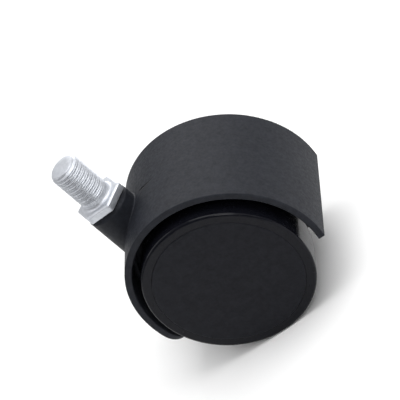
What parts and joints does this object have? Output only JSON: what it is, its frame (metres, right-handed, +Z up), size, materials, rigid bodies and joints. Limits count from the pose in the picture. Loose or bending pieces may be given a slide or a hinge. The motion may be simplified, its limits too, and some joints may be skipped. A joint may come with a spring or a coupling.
{
  "type": "hooded twin-wheel furniture caster",
  "caption": "Black nylon hooded twin-wheel swivel caster with an M10 threaded stem and thin hexagon, for chairs and furniture.",
  "frame": {"origin": "on the stem's axis, at the top face of the hexagon, which bears on the furniture", "axes": "+Z up along the stem to its free end, +X forward from the stem towards the axle, +Y left along the axle"},
  "size_m": [0.0602, 0.0414, 0.0758],
  "materials": {
    "zinc_plated_steel": "bright zinc plating, satin",
    "spring_steel": "phosphated, dull",
    "sleeve_steel": "drawn steel",
    "axle_steel": "ground steel",
    "hood_nylon": "finely textured moulding",
    "wheel_nylon": "smooth moulding, satin tread",
    "cap_nylon": "finely textured moulding"
  },
  "bodies": {
    "stem": {"threaded_stem": "zinc_plated_steel", "stem_retaining_ring": "spring_steel"},
    "swivel_body": {"hood_body": "hood_nylon", "socket_sleeve": "sleeve_steel", "axle": "axle_steel", "left_axle_push_nut": "spring_steel", "right_axle_push_nut": "spring_steel"},
    "left_wheel": {"left_wheel": "wheel_nylon", "left_wheel_cap": "cap_nylon"},
    "right_wheel": {"right_wheel": "wheel_nylon", "right_wheel_cap": "cap_nylon"}
  },
  "joints": [
    {"name": "swivel", "type": "hinge", "parent": "stem", "child": "swivel_body", "pos_m": [0, 0, 0], "axis": [0, 0, 1], "continuous": true},
    {"name": "left_wheel_spin", "type": "hinge", "parent": "swivel_body", "child": "left_wheel", "pos_m": [0.018, 0, -0.0358], "axis": [0, 1, 0], "continuous": true},
    {"name": "right_wheel_spin", "type": "hinge", "parent": "swivel_body", "child": "right_wheel", "pos_m": [0.018, 0, -0.0358], "axis": [0, 1, 0], "continuous": true}
  ]
}
